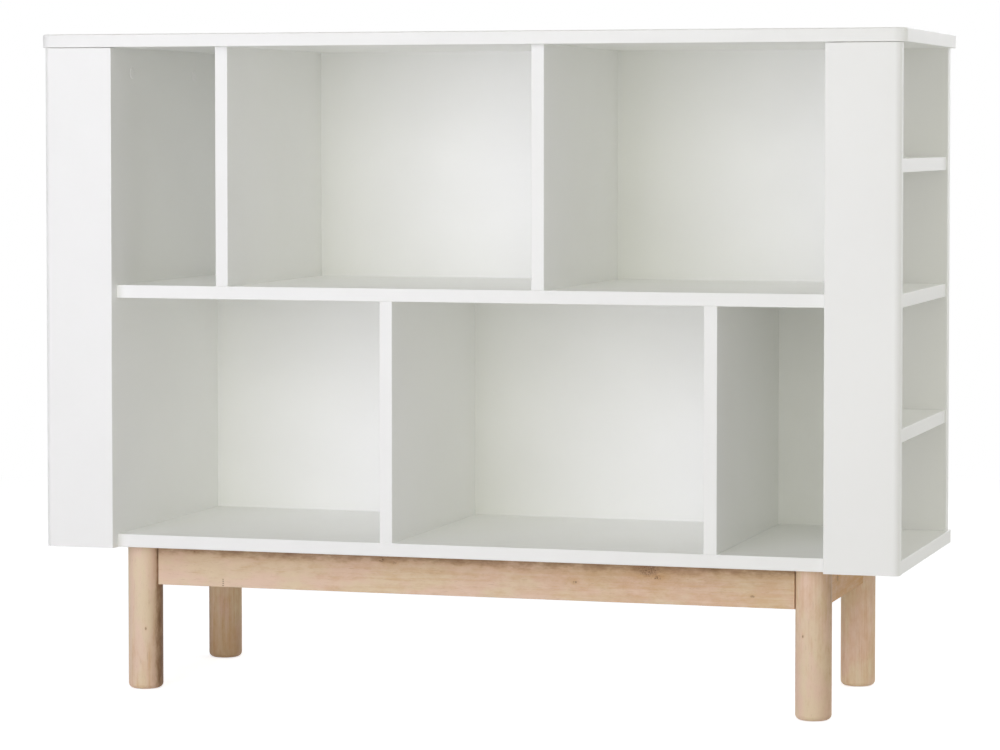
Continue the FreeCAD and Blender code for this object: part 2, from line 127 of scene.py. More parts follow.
class Value:
    """A shader socket that Python's operators turn into Math nodes."""

    def __init__(self, shader, socket):
        self.shader = shader
        self.socket = socket

    def math(self, operation, *others):
        return self.shader.math(operation, self, *others)

    def __add__(self, other):
        return self.math("ADD", other)

    def __sub__(self, other):
        return self.math("SUBTRACT", other)

    def __rsub__(self, other):
        return self.shader.math("SUBTRACT", other, self)

    def __mul__(self, other):
        return self.math("MULTIPLY", other)

    def __truediv__(self, other):
        return self.math("DIVIDE", other)

    __radd__ = __add__
    __rmul__ = __mul__

    def root(self):
        return self.math("SQRT")

    def fall(self):
        """e to the minus self."""
        return (self * -1.0).math("EXPONENT")

    def step(self, start, end):
        """0 before start and 1 after end, smoothly between."""
        settings = {"interpolation_type": "SMOOTHSTEP", "clamp": True}
        values = {"Value": self, "From Min": start, "From Max": end}
        return self.shader.add("ShaderNodeMapRange", settings, values)


class Shader:
    """A node tree that a material or the world is made of."""

    def __init__(self, owner):
        self.owner = owner
        owner.use_nodes = True
        self.tree = owner.node_tree
        self.tree.nodes.clear()

    def add(self, kind, settings=None, values=None, output=0):
        """A node of that kind, its settings first, then its sockets. Gives one of its outputs."""
        node = self.tree.nodes.new(kind)
        for key, setting in (settings or {}).items():
            setattr(node, key, setting)
        for key, value in (values or {}).items():
            if isinstance(value, Value):
                self.tree.links.new(value.socket, node.inputs[key])
            else:
                node.inputs[key].default_value = value
        return Value(self, node.outputs[output]) if node.outputs else None

    def math(self, operation, *values):
        return self.add("ShaderNodeMath", {"operation": operation}, dict(enumerate(values)))

    def parts(self, kind, vector):
        """The three parts of a vector or a colour."""
        return [self.add(kind, None, {0: vector}, output) for output in range(3)]

    def place_mm(self, centre=(0, 0, 0)):
        """The surface point's place in millimetres from centre, as x, y and z."""
        place = self.add("ShaderNodeTexCoord", output="Object")
        offset = self.add("ShaderNodeVectorMath", {"operation": "SUBTRACT"}, {0: place, 1: centre})
        values = {0: offset, "Scale": 1 / MM}
        scaled = self.add("ShaderNodeVectorMath", {"operation": "SCALE"}, values)
        return self.parts("ShaderNodeSeparateXYZ", scaled)

    def point(self, x, y, z):
        return self.add("ShaderNodeCombineXYZ", None, {"X": x, "Y": y, "Z": z})

    def noise(self, vector, scale=1.0, detail=2.0, roughness=0.5, output="Fac"):
        values = {"Vector": vector, "Scale": scale, "Detail": detail, "Roughness": roughness}
        return self.add("ShaderNodeTexNoise", {"noise_dimensions": "3D"}, values, output)

    def mix(self, factor, first, second):
        """Colours mixed by factor."""
        values = {0: factor, 6: first, 7: second}
        return self.add("ShaderNodeMix", {"data_type": "RGBA"}, values, 2)

    def bump(self, height, depth_mm):
        return self.add("ShaderNodeBump", None, {"Height": height, "Distance": depth_mm * MM})

    def shine(self, **values):
        """Ends a material with the usual shader. A socket's name has its spaces as underscores."""
        sockets = {name.replace("_", " "): value for name, value in values.items()}
        return self.finish(self.add("ShaderNodeBsdfPrincipled", None, sockets))

    def finish(self, shading):
        self.add("ShaderNodeOutputMaterial", None, {"Surface": shading})
        return self.owner


def material(name):
    """The tree of a new material."""
    return Shader(bpy.data.materials.new(name))


def rgba(colour):
    """A colour with the fourth part that a socket asks for."""
    return (*colour[:3], 1.0)


def shade(colour, factor):
    """A colour made darker, or paler where factor is over 1."""
    return (*[part * factor for part in colour[:3]], 1.0)


# ---- Finishes ----


def lacquer_finish(name, lacquer, seed):
    """Sprayed satin lacquer: fine orange peel, a slow flow in the film and a faint mottle."""
    s = material(name)
    x, y, z = s.place_mm()
    here = s.point(x + seed * 137.0, y + seed * 53.0, z - seed * 91.0)
    peel = s.noise(here, 1 / lacquer.peel_size, 2.5, 0.55)
    flow = s.noise(here, 1 / 38.0)
    mottle = s.noise(here, 1 / 170.0, 3.0)
    specks = s.noise(here, 1 / 0.34, 1.0).step(0.70, 0.82)
    colour = s.mix(mottle.step(0.3, 0.7), shade(lacquer.colour, 0.984), rgba(lacquer.colour))
    return s.shine(
        Base_Color=s.mix(specks * 0.10, colour, shade(lacquer.colour, 0.90)),
        Roughness=lacquer.roughness + 0.07 * (flow - 0.5) + 0.05 * (peel - 0.5),
        IOR=1.4,
        Normal=s.bump(peel * 0.16 + flow * 0.7 + specks * 0.10, lacquer.peel_depth),
    )


def hardboard_finish(name, lacquer):
    """Painted hardboard, flatter than the lacquer and with its fibres just showing."""
    s = material(name)
    x, y, z = s.place_mm()
    felted = s.noise(s.point(x * 0.9, y * 0.9, z * 0.9), 1.0, 4.0, 0.65)
    fibres = s.noise(s.point(x * 0.35 + felted * 2.0, y, z * 1.9), 1.0, 3.0, 0.6)
    mottle = s.noise(s.point(x, y, z), 1 / 120.0, 3.0)
    white = lacquer.back_colour
    colour = s.mix(mottle.step(0.3, 0.7), shade(white, 0.982), rgba(white))
    return s.shine(
        Base_Color=s.mix(fibres.step(0.58, 0.8) * 0.16, colour, shade(white, 0.90)),
        Roughness=lacquer.roughness + 0.12 + 0.08 * (felted - 0.5),
        IOR=1.46,
        Specular_IOR_Level=0.36,
        Normal=s.bump(felted * 0.6 + fibres * 0.5, 0.03),
    )


class Timber(NamedTuple):
    """How one piece of the frame lies in its tree, in millimetres from the piece's middle.

    Across is Z on a rail and X on a leg, and deep is the third way. The tone runs from 0,
    pale, to 1, brown. Painted shade, in the colours of dark heartwood, lies along one side: the
    shadow under the body along a rail's top and the dark limb of a leg. It is 2 at its darkest.
    """

    grain: str  # the axis that the fibres run along
    pith: tuple  # where the tree's middle passes, across and deep
    tone: float
    drift: float  # change of tone over a metre of length
    shade_edge: float  # across: the side where the painted shade lies
    shade_depth: float  # how far the painted shade fades from its edge
    # how dark the painted shade along that side is
    shade_strength: float
    shine: float  # painted light: how much paler the whole piece is made, for the light it gets beside the others
    fade: float  # change of the painted light over a metre of length; on the rear left leg, painted shade towards its foot
    knots: tuple  # each one's place along and across, its radius and its speckle, 0 to 1


HALF_RAIL = (RAIL_HIGH.z - RAIL_LOW.z) / 2 / MM
HALF_LEG = (LEG_HIGH.x - LEG_LOW.x) / 2 / MM
RAIL_KNOTS = (
    (250, 19, 11.0, 0.55), (263, 8, 3.6, 0.9), (391, -12, 2.0, 0.4), (-122, 18, 3.2, 0.9),
    (-104, 15, 2.2, 1.0), (-394, 20, 1.0, 0.0), (-352, -25, 1.0, 0.0), (-352, -22, 0.9, 0.0),
    (-352, -19, 0.9, 0.0), (-352, -16.5, 0.7, 0.0), (150, -2, 2.4, 0.9),
)
# The heart fields paint shade: along each rail's top, the shadow under the body; on each leg, a
# dark limb. The rear left leg's drift and fade paint it darker towards its foot.
TIMBERS = {
    "front_rail": Timber(
        "X", (8, 70), 0.10, 0.50, HALF_RAIL, 24, 1.6, 1.04, 0.0, RAIL_KNOTS
    ),
    "rear_rail": Timber(
        "X", (-14, -76), 0.45, -0.3, HALF_RAIL, 11, 0.8, 1.0, 0.0, ((-180, 8, 4, 0.5),)
    ),
    "left_rail": Timber(
        "Y", (6, 64), 0.60, 0.4, HALF_RAIL, 10, 0.6, 1.0, 0.0, ((30, 4, 2.6, 0.2),)
    ),
    "right_rail": Timber(
        "Y", (-10, -70), 0.86, 0.0, HALF_RAIL, 10, 0.4, 1.05, 0.0, ((-48, 2, 5.0, 1.0),)
    ),
    "front_left_leg": Timber(
        "Z", (-38, 46), -0.06, -1.2, HALF_LEG, 6, 1.9, 1.03, 0.0, ((-15, 9, 1.3, 0.3),)
    ),
    "front_right_leg": Timber(
        "Z", (56, 30), 0.0, 1.2, HALF_LEG, 13, 1.0, 1.05, 0.0, ((12, -10, 1.4, 0.2),)
    ),
    "rear_left_leg": Timber(
        "Z", (30, -54), 0.22, -2.5, -HALF_LEG, 6, 2.8, 1.11, 3.4, ((20, 3, 2.2, 0.4),)
    ),
    "rear_right_leg": Timber(
        "Z", (-62, -30), 0.20, 0.0, HALF_LEG, 6, 0.4, 1.17, 0.0, ((60, 4, 4.0, 1.0),)
    ),
}
SWAY = 36.0  # how far the tree's middle wanders, in millimetres
RIPPLE = 7.0  # how far the rings are out of round, in millimetres
KNOT_STRETCH = 0.62  # a knot's width over its length


def grow_knots(s, timber, radius, along, across, deep, seed):
    """Bends the rings round each knot.

    Gives the radius of the rings again, and with it the knots' hearts, the halos round them
    and the speckle that breaks up the hearts, each from 0 to 1 or a little over.
    """
    rough_edge = s.noise(s.point(along * 0.3, across * 0.3 + seed, deep * 0.05))
    speckle = s.noise(s.point(along * 0.5, across * 0.6 - seed, deep * 0.3), 1.0, 3.0, 0.6)
    speckle = speckle.step(0.50, 0.58)
    hearts = halos = 0.0
    for knot_along, knot_across, knot_radius, knot_speckle in timber.knots:
        p = (along - knot_along) * KNOT_STRETCH
        q = across - knot_across
        away = (p * p + q * q).root() / knot_radius + (rough_edge - 0.5) * 0.9
        near = (away * away * 0.12).fall()
        radius = radius + near * (knot_radius * 2.2)
        core = 1.0 - away.step(0.45, 1.15)
        hearts = core * (1.0 - knot_speckle + knot_speckle * speckle) + hearts
        halos = (away * away * 0.35).fall() + halos
    return radius, hearts, halos, speckle


def lay_painted_shade(s, timber, across, sway, figure):
    """Painted shade along one side of the piece, coloured as dark heartwood: 0 is none, and 2 is
    the darkest.
    """
    from_edge = (timber.shade_edge - across + (sway - 0.5) * 6.0).math("ABSOLUTE")
    painted_shade = (from_edge / timber.shade_depth).math("POWER", 1.2).fall() * timber.shade_strength
    return painted_shade * (0.45 + 1.1 * figure)


def wood_finish(name, wood, node, seed):
    """Pale oiled hardwood, solid right through, so that ends show rings and sides show grain."""
    timber = TIMBERS[node]
    s = material(name)
    x, y, z = s.place_mm(middle(node))
    along, across, deep = {"X": (x, z, y), "Y": (y, z, x), "Z": (z, x, y)}[timber.grain]

    wander = s.noise(
        s.point(across * 0.012 + seed, deep * 0.012, along * 0.0030), 1.0, 2.0, 0.5, "Color"
    )
    sway_across, sway_deep, sway_tone = s.parts("ShaderNodeSeparateColor", wander)
    a = across + (sway_across - 0.5) * SWAY - timber.pith[0]
    d = deep + (sway_deep - 0.5) * SWAY - timber.pith[1]
    ripple = s.noise(s.point(across * 0.06, deep * 0.06 + seed, along * 0.010))
    radius = (a * a + d * d).root() + (ripple - 0.5) * RIPPLE
    radius, hearts, halos, speckle = grow_knots(s, timber, radius, along, across, deep, seed)

    ring = radius / wood.ring_width
    cycle = ring.math("FRACT")
    late = cycle.step(0.25, 0.92) * (1.0 - cycle.step(0.94, 1.0))
    ring_tone = s.noise(s.point(ring * 0.83, seed, 0.0), 1.0, 1.0).step(0.25, 0.8)
    fibre = s.noise(s.point(across * 0.55, deep * 0.55 + seed, along * 0.011), 1.0, 4.0, 0.6)
    streak = s.noise(s.point(across * 0.17, deep * 0.17 - seed, along * 0.007), 1.0, 3.0, 0.55)
    thread = s.noise(s.point(across * 2.6, deep * 2.6 + seed, along * 0.05))
    pores = s.noise(s.point(across * 3.4 + seed, deep * 3.4, along * 0.17), 1.0, 1.0)
    pores = pores.step(0.64, 0.74) * (0.35 + 0.65 * late)
    dashes = s.noise(s.point(across * 0.75, deep * 0.75 - seed, along * 0.045), 1.0, 1.0)
    dashes = dashes.step(0.70, 0.80)
    cloud = s.noise(s.point(across * 0.030, deep * 0.030, along * 0.012 + seed), 1.0, 3.0, 0.6)

    figure = s.noise(s.point(across * 0.11 + seed, deep * 0.11, along * 0.045), 1.0, 3.0, 0.65)
    # painted shade along one side: the shadow under the body on a rail, the dark limb of a leg
    painted_shade = lay_painted_shade(s, timber, across, sway_deep, figure)
    tone = along * (timber.drift * MM) + timber.tone
    tone = tone + (sway_tone - 0.5) * 0.50 + (fibre - 0.5) * 0.45 + (streak - 0.5) * 0.75
    tone = tone + late * ring_tone * wood.ring_strength + (thread - 0.5) * 0.20 + halos * 0.25
    tone = tone + (figure - 0.5) * 0.9

    colour = s.mix(cloud.step(0.38, 0.62), rgba(wood.straw), rgba(wood.blush))
    colour = s.mix(tone, colour, rgba(wood.brown))
    # painted shade: the band darkens towards the late wood, and past 1 towards the dark colour
    colour = s.mix(painted_shade * 0.5, colour, rgba(wood.late))
    colour = s.mix(painted_shade - 1.0, colour, rgba(wood.dark))
    colour = s.mix(dashes * 0.38, colour, rgba(wood.late))
    colour = s.mix(pores * 0.40, colour, rgba(wood.pore))
    core_tone = s.mix(speckle, rgba(wood.knot), shade(wood.knot, 0.6))
    colour = s.mix(hearts.math("MINIMUM", 1.0) * 0.75, colour, core_tone)
    # painted light: the whole piece scaled paler or darker for the light that falls on it, changing
    # along its length
    pale = along * (timber.fade * MM) + timber.shine
    colour = s.add("ShaderNodeVectorMath", {"operation": "SCALE"}, {0: colour, "Scale": pale})
    height = fibre * 0.25 + thread * 0.35 - pores * 0.9 - late * 0.2 - hearts * 0.6
    return s.shine(
        Base_Color=colour,
        Roughness=wood.roughness + 0.10 * (thread - 0.5) + 0.14 * pores - 0.04 * late,
        IOR=1.46,
        Specular_IOR_Level=0.32,
        Normal=s.bump(height, wood.grain_depth),
    )


def metal_finish(name, colour, roughness, drawn=0.0):
    """Plated or die-cast metal, with a fine cast or drawn texture and faint tarnish."""
    s = material(name)
    x, y, z = s.place_mm()
    here = s.point(x, y, z)
    cast = s.noise(here, 2.0, 3.0, 0.6)
    lines = s.noise(s.point(x * 0.4, y * 6.0, z * 6.0))
    tarnish = s.noise(here, 0.12, 3.0, 0.55)
    return s.shine(
        Base_Color=s.mix(tarnish.step(0.4, 0.75), rgba(colour), shade(colour, 0.78)),
        Metallic=1.0,
        Roughness=roughness + 0.12 * (cast - 0.5) + 0.10 * (tarnish - 0.5),
        Normal=s.bump(cast * (1.0 - drawn) + lines * drawn, 0.03),
    )


def plastic_finish(name, colour):
    """Moulded polythene with the dull, fine grain of its mould."""
    s = material(name)
    x, y, z = s.place_mm()
    here = s.point(x, y, z)
    grain = s.noise(here, 4.0, 2.0, 0.6)
    flow = s.noise(here, 0.25, 2.0)
    return s.shine(
        Base_Color=s.mix(flow.step(0.3, 0.7), shade(colour, 0.975), rgba(colour)),
        Roughness=0.46 + 0.08 * (grain - 0.5),
        IOR=1.5,
        Normal=s.bump(grain, 0.02),
    )


def felt_finish(name, colour):
    """Pressed wool felt with a soft nap and stray pale fibres."""
    s = material(name)
    x, y, z = s.place_mm()
    nap = s.noise(s.point(x, y, z), 2.2, 4.0, 0.7)
    stray = s.noise(s.point(x * 0.5 + nap * 3.0, y * 3.0, z * 3.0), 1.0, 3.0, 0.6)
    tone = s.mix(nap.step(0.3, 0.7), shade(colour, 0.72), rgba(colour))
    return s.shine(
        Base_Color=s.mix(stray.step(0.62, 0.72) * 0.5, tone, shade(colour, 1.7)),
        Roughness=0.95,
        Sheen_Weight=0.4,
        Normal=s.bump(nap + stray * 0.5, 0.25),
    )


def dowel_finish(name, wood):
    """Bare beech: pinkish, with short dark flecks."""
    s = material(name)
    x, y, z = s.place_mm()
    fleck = s.noise(s.point(x * 0.9, y * 0.9, z * 0.9), 1.0, 3.0, 0.6)
    dash = s.noise(s.point(x * 0.3, y * 2.4, z * 2.4)).step(0.62, 0.72)
    tone = s.mix(fleck.step(0.3, 0.7), rgba(wood.straw), rgba(wood.blush))
    return s.shine(
        Base_Color=s.mix(dash * 0.5, tone, rgba(wood.late)),
        Roughness=0.62,
        Normal=s.bump(fleck + dash, 0.05),
    )


def paint(nodes, finish):
    """Gives the nodes of the frame that finish."""
    for name in nodes:
        for material_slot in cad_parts[name].material_slots:
            material_slot.material = finish


# ---- Modelling ----


def deselect():
    """Leaves edit mode with nothing selected."""
    if bpy.context.object and bpy.context.object.mode != "OBJECT":
        bpy.ops.object.mode_set(mode="OBJECT")
    bpy.ops.object.select_all(action="DESELECT")


def select_only(piece):
    """Selects one piece and makes it the active one."""
    deselect()
    piece.select_set(True)
    bpy.context.view_layer.objects.active = piece


def turn_on_lathe(name, profile, steps):
    """A turned solid round Z from a profile of (radius, height), both ends on the axis."""
    deselect()
    bpy.ops.mesh.primitive_plane_add(size=0.001)
    piece = bpy.context.object
    piece.name = name
    bpy.ops.object.mode_set(mode="EDIT")
    bpy.ops.mesh.select_all(action="SELECT")
    bpy.ops.mesh.merge(type="CENTER")
    start = Vector((profile[0][0], 0, profile[0][1]))
    bpy.ops.transform.translate(value=start)
    for (radius, height), (next_radius, next_height) in zip(profile, profile[1:]):
        move = (next_radius - radius, 0, next_height - height)
        bpy.ops.mesh.extrude_region_move(TRANSFORM_OT_translate={"value": move})
    bpy.ops.mesh.select_all(action="SELECT")
    bpy.ops.mesh.spin(steps=steps, angle=math.tau, center=(0, 0, 0), axis=(0, 0, 1))
    bpy.ops.mesh.select_all(action="SELECT")
    bpy.ops.mesh.remove_doubles(threshold=1e-6)
    bpy.ops.mesh.select_all(action="SELECT")
    bpy.ops.mesh.normals_make_consistent(inside=False)
    bpy.ops.object.mode_set(mode="OBJECT")
    return piece


def wing(length, width, depth, tip_share, top):
    """A tapered bar, one of the two of a cross: full size at top and narrower at its tip."""
    deselect()
    bpy.ops.mesh.primitive_cube_add(size=1, location=(0, 0, top - depth / 2))
    bar = bpy.context.object
    bar.scale = (length, width, depth)
    bpy.ops.object.transform_apply(location=True, rotation=True, scale=True)
    bpy.ops.object.mode_set(mode="EDIT")
    mesh = bmesh.from_edit_mesh(bar.data)
    for face in mesh.faces:
        face.select = face.normal.z < -0.5
    mesh.select_flush_mode()
    bmesh.update_edit_mesh(bar.data)
    bpy.ops.transform.resize(value=(tip_share, tip_share, 1))
    bpy.ops.object.mode_set(mode="OBJECT")
    return bar


def combine(piece, operation, others):
    """Each of the others is cut from piece or joined to it, and is then gone."""
    for other in others:
        select_only(piece)
        bpy.ops.object.modifier_add(type="BOOLEAN")
        modifier = piece.modifiers[-1]
        modifier.operation = operation
        modifier.solver = "EXACT"
        modifier.object = other
        bpy.ops.object.modifier_apply(modifier=modifier.name)
        bpy.data.objects.remove(other, do_unlink=True)


def crossed(length, width, depth, tip_share, top):
    """The two wings of a cross."""
    first = wing(length, width, depth, tip_share, top)
    second = wing(width, length, depth, tip_share, top)
    return [first, second]


def ease_edges(piece, width):
    """Takes the sharpness off every edge, as plating does."""
    select_only(piece)
    bpy.ops.object.modifier_add(type="BEVEL")
    bevel = piece.modifiers[-1]
    bevel.width = width
    bevel.segments = 1
    bevel.limit_method = "ANGLE"
    bevel.angle_limit = math.radians(50)
    bpy.ops.object.modifier_apply(modifier=bevel.name)


def smooth(piece, angle=32):
    """Shades all edges smooth that turn by less than angle."""
    select_only(piece)
    bpy.ops.object.shade_smooth_by_angle(angle=math.radians(angle))


def turned_screw(name, head, cone, shank, length, steps):
    """A countersunk screw that looks along +Z: a dished face, a cone, a shank and a point."""
    radius = shank / 2
    profile = [
        (0, -0.12 * MM), (head * 0.36, -0.12 * MM), (head * 0.42, 0), (head / 2 - 0.12 * MM, 0),
        (head / 2, -0.12 * MM), (head / 2, -0.35 * MM), (radius + 0.2 * MM, -cone + 0.1 * MM),
        (radius, -cone - 0.3 * MM), (radius, radius * 1.6 - length), (radius * 0.2, -length),
        (0, -length),
    ]
    return turn_on_lathe(name, profile, steps)


def face_along(direction, roll=0.0):
    """Turns a piece that looks along +Z so that it looks along direction."""
    turn = Vector((0, 0, 1)).rotation_difference(Vector(direction)).to_matrix().to_4x4()
    return turn @ Matrix.Rotation(roll, 4, "Z")


def set_out(pattern, name, places):
    """Copies of one pattern at each (point, direction, roll), joined as one group."""
    copies = []
    for point, direction, roll in places:
        copy = pattern.copy()
        copy.data = pattern.data.copy()
        copy.data.transform(Matrix.Translation(Vector(point)) @ face_along(direction, roll))
        bpy.context.collection.objects.link(copy)
        copies.append(copy)
    bpy.data.objects.remove(pattern, do_unlink=True)
    deselect()
    for copy in copies:
        copy.select_set(True)
    bpy.context.view_layer.objects.active = copies[0]
    bpy.ops.object.join()
    group = bpy.context.view_layer.objects.active
    group.name = name
    return group


def fit_piece(piece, finish, slot, *nodes):
    """Finishes a new piece and puts it in the place of its nodes."""
    piece.data.materials.clear()
    piece.data.materials.append(finish)
    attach(piece, "root")
    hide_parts(*nodes)


def plated_steel(name):
    """Bright zinc plating on drawn steel."""
    return metal_finish(name, STEEL, 0.34, 0.5)


def rolls(seed):
    """How far each screw of a group was turned in the end."""
    generator = random.Random(seed)
    while True:
        yield generator.uniform(0, math.tau)


# ---- Settings ----


class BookcaseLacquer(bpy.types.PropertyGroup):
    colour: FloatVectorProperty(
        name="Lacquer", description="Colour of the boards", subtype="COLOR", size=3,
        min=0, max=1, default=(0.918, 0.921, 0.900),
    )
    back_colour: FloatVectorProperty(
        name="Back", description="Colour of the thin back panel", subtype="COLOR", size=3,
        min=0, max=1, default=(0.918, 0.921, 0.902),
    )
    roughness: FloatProperty(
        name="Roughness", description="0 is a mirror, 1 is chalk", min=0, max=1, default=0.42
    )
    peel_size: FloatProperty(
        name="Orange peel size", description="Width of a dimple in the film, in millimetres",
        min=0.2, max=5, default=1.3,
    )
    peel_depth: FloatProperty(
        name="Orange peel depth", description="Depth of the film's unevenness, in millimetres",
        min=0, max=0.5, default=0.05,
    )


class BookcaseWood(bpy.types.PropertyGroup):
    straw: FloatVectorProperty(
        name="Straw", description="The yellower sapwood", subtype="COLOR", size=3, min=0, max=1,
        default=(0.765, 0.620, 0.435),
    )
    blush: FloatVectorProperty(
        name="Blush", description="The pinker sapwood", subtype="COLOR", size=3, min=0, max=1,
        default=(0.785, 0.585, 0.455),
    )
    brown: FloatVectorProperty(
        name="Brown", description="Heartwood", subtype="COLOR", size=3, min=0, max=1,
        default=(0.600, 0.330, 0.120),
    )
    # the darkest colour of the painted shade along a side, coloured as heartwood
    dark: FloatVectorProperty(
        name="Dark", description="Heartwood at its darkest", subtype="COLOR", size=3,
        min=0, max=1, default=(0.220, 0.120, 0.060),
    )
    late: FloatVectorProperty(
        name="Late", description="Dark dashes of the late wood", subtype="COLOR", size=3,
        min=0, max=1, default=(0.430, 0.260, 0.135),
    )
    pore: FloatVectorProperty(
        name="Pores", description="Open pores", subtype="COLOR", size=3, min=0, max=1,
        default=(0.360, 0.230, 0.140),
    )
    knot: FloatVectorProperty(
        name="Knots", description="Heart of a knot", subtype="COLOR", size=3, min=0, max=1,
        default=(0.250, 0.140, 0.075),
    )
    ring_width: FloatProperty(
        name="Ring width", description="Between two year rings, in millimetres",
        min=0.5, max=12, default=3.4,
    )
    ring_strength: FloatProperty(
        name="Ring strength", description="How dark the late wood shows", min=0, max=1,
        default=0.15,
    )
    grain_depth: FloatProperty(
        name="Grain depth", description="Depth of the open grain, in millimetres",
        min=0, max=1, default=0.12,
    )
    roughness: FloatProperty(
        name="Roughness", description="0 is a mirror, 1 is chalk", min=0, max=1, default=0.55
    )


class BookcaseFittings(bpy.types.PropertyGroup):
    cap_diameter: FloatProperty(
        name="Cap diameter", description="Across the plastic cap of a cam lock", unit="LENGTH",
        min=0.012, max=0.030, default=0.0158,
    )
    cap_rise: FloatProperty(
        name="Cap rise", description="How far a cap stands proud of the board", unit="LENGTH",
        min=0.0004, max=0.003, default=0.0008,
    )
    board_head: FloatProperty(
        name="Board screw head", description="Across the head of a board screw",
        unit="LENGTH", min=0.008, max=0.010, default=0.0099,
    )
    socket: FloatProperty(
        name="Hexagon socket", description="Between the flats of a board screw's socket",
        unit="LENGTH", min=0.003, max=0.005, default=0.004,
    )
    frame_head: FloatProperty(
        name="Frame screw head", description="Across the head of a frame screw",
        unit="LENGTH", min=0.005, max=0.008, default=0.0079,
    )
    back_head: FloatProperty(
        name="Back screw head", description="Across the head of a back screw",
        unit="LENGTH", min=0.003, max=0.005, default=0.0049,
    )
    glide: FloatProperty(
        name="Glide diameter", description="Across a felt glide", unit="LENGTH",
        min=0.01, max=0.022, default=0.0219,
    )
    lathe_steps: IntProperty(
        name="Lathe steps", description="Facets round a turned fitting", min=12, max=96,
        default=48,
    )


class BookcaseStage(bpy.types.PropertyGroup):
    camera_place: FloatVectorProperty(
        name="Camera place", description="Where the camera stands", subtype="TRANSLATION",
        size=3, default=(1.4063, -4.6803, 0.7683),
    )
    camera_turn: FloatProperty(
        name="Camera turn", description="Turn to the left from straight ahead",
        subtype="ANGLE", default=math.radians(16.73),
    )
    camera_dip: FloatProperty(
        name="Camera dip", description="Tilt down from level", subtype="ANGLE",
        default=math.radians(2.448),
    )
    lens: FloatProperty(
        name="Lens", description="Focal length in millimetres", min=20, max=300, default=127.48
    )
    world_strength: FloatProperty(
        name="Ambient", description="Strength of the light from all round", min=0, max=3,
        default=0.217,
    )
    key_power: FloatProperty(
        name="Key", description="Power of the soft lamp at the front left, in watts", min=0,
        default=38.3,
    )
    front_power: FloatProperty(
        name="Front", description="Power of the broad lamp at the front, in watts", min=0,
        default=84.5,
    )
    side_power: FloatProperty(
        name="Side", description="Power of the soft lamp at the right, in watts", min=0,
        default=20.5,
    )
    high_power: FloatProperty(
        name="High", description="Power of the soft lamp high at the front, in watts", min=0,
        default=22.0,
    )
    rear_power: FloatProperty(
        name="Rear", description="Power of the soft lamp behind on the right, in watts", min=0,
        default=25.2,
    )
    back_power: FloatProperty(
        name="Back", description="Power of the broad lamp that lights the back, in watts", min=0,
        default=38.0,
    )


# ---- Operators ----


class LacquerBoards(bpy.types.Operator):
    """Lacquer every board of the body"""

    bl_idname = "bookcase.lacquer_boards"
    bl_label = "Lacquered boards"

    def execute(self, context):
        for number, name in enumerate(BOARDS):
            lacquer = lacquer_finish(f"lacquer_{name}", context.scene.bookcase_lacquer, number)
            paint([name], lacquer)
        return {"FINISHED"}


class PaintBack(bpy.types.Operator):
    """Paint the thin back panel"""

    bl_idname = "bookcase.paint_back"
    bl_label = "Back panel"

    def execute(self, context):
        paint(["back_panel"], hardboard_finish("painted_hardboard", context.scene.bookcase_lacquer))
        return {"FINISHED"}


class OilFrame(bpy.types.Operator):
    """Give the four round legs upright grain and the four rails grain along their length"""

    bl_idname = "bookcase.oil_frame"
    bl_label = "Legs and rails"

    def execute(self, context):
        for number, node in enumerate(TIMBERS):
            seed = 2 + 4.3 * number
            oiled = wood_finish(f"oiled_{node}", context.scene.bookcase_wood, node, seed)
            paint([node], oiled)
        return {"FINISHED"}


class FinishHiddenFittings(bpy.types.Operator):
    """Finish the cam locks, bolts and dowels inside the boards"""

    bl_idname = "bookcase.finish_hidden_fittings"
    bl_label = "Cam locks, bolts and dowels"

    def execute(self, context):
        paint(["cam_locks"], metal_finish("cast_zinc", ZINC, 0.42))
        paint(["cam_bolts"], plated_steel("plated_bolts"))
        beech = dowel_finish("bare_beech", context.scene.bookcase_wood)
        paint(["board_dowels", "frame_dowels"], beech)
        return {"FINISHED"}


class MakeCaps(bpy.types.Operator):
    """Model the moulded caps over the cam locks, each with a cross that plugs into its cam"""

    bl_idname = "bookcase.make_caps"
    bl_label = "Cam caps"

    def execute(self, context):
        sizes = context.scene.bookcase_fittings
        radius = sizes.cap_diameter / 2
        rise = sizes.cap_rise
        profile = [
            (0, 0.02 * MM), (radius - 0.5 * MM, 0.02 * MM), (radius, 0.05 * MM),
            (radius, rise * 0.4), (radius - 0.12 * MM, rise * 0.62),
            (radius - 0.4 * MM, rise * 0.8), (radius * 0.86, rise * 0.9),
            (radius * 0.5, rise * 0.98), (0.9 * MM, rise),
            (0.75 * MM, rise - 0.1 * MM), (0, rise - 0.1 * MM),
        ]
        cap = turn_on_lathe("cap", profile, sizes.lathe_steps)
        cross = crossed(
            length=8.4 * MM, width=1.2 * MM, depth=1.1 * MM, tip_share=0.9, top=0.05 * MM
        )
        combine(cap, "UNION", cross)
        smooth(cap)
        wall_x = WALL_LOW.x
        cam_z = TOP_LOW.z - CAM_REACH
        places = []
        for y in FITTING_YS:
            places.append(((-wall_x, y, cam_z), (1, 0, 0), 0.0))
            places.append(((wall_x, y, cam_z), (-1, 0, 0), 0.0))
            for divider in ("upper_left_divider", "upper_right_divider"):
                places.append(((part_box(divider)[0].x, y, cam_z), (-1, 0, 0), 0.0))
            for side in (-1, 1):
                x = side * (SHELF_HIGH.x - CAM_REACH)
                places.append(((x, y, SHELF_LOW.z), (0, 0, -1), 0.0))
        caps = set_out(cap, "cam_caps_moulded", places)
        fit_piece(caps, plastic_finish("polythene", POLYTHENE), "white_plastic", "cam_caps")
        return {"FINISHED"}


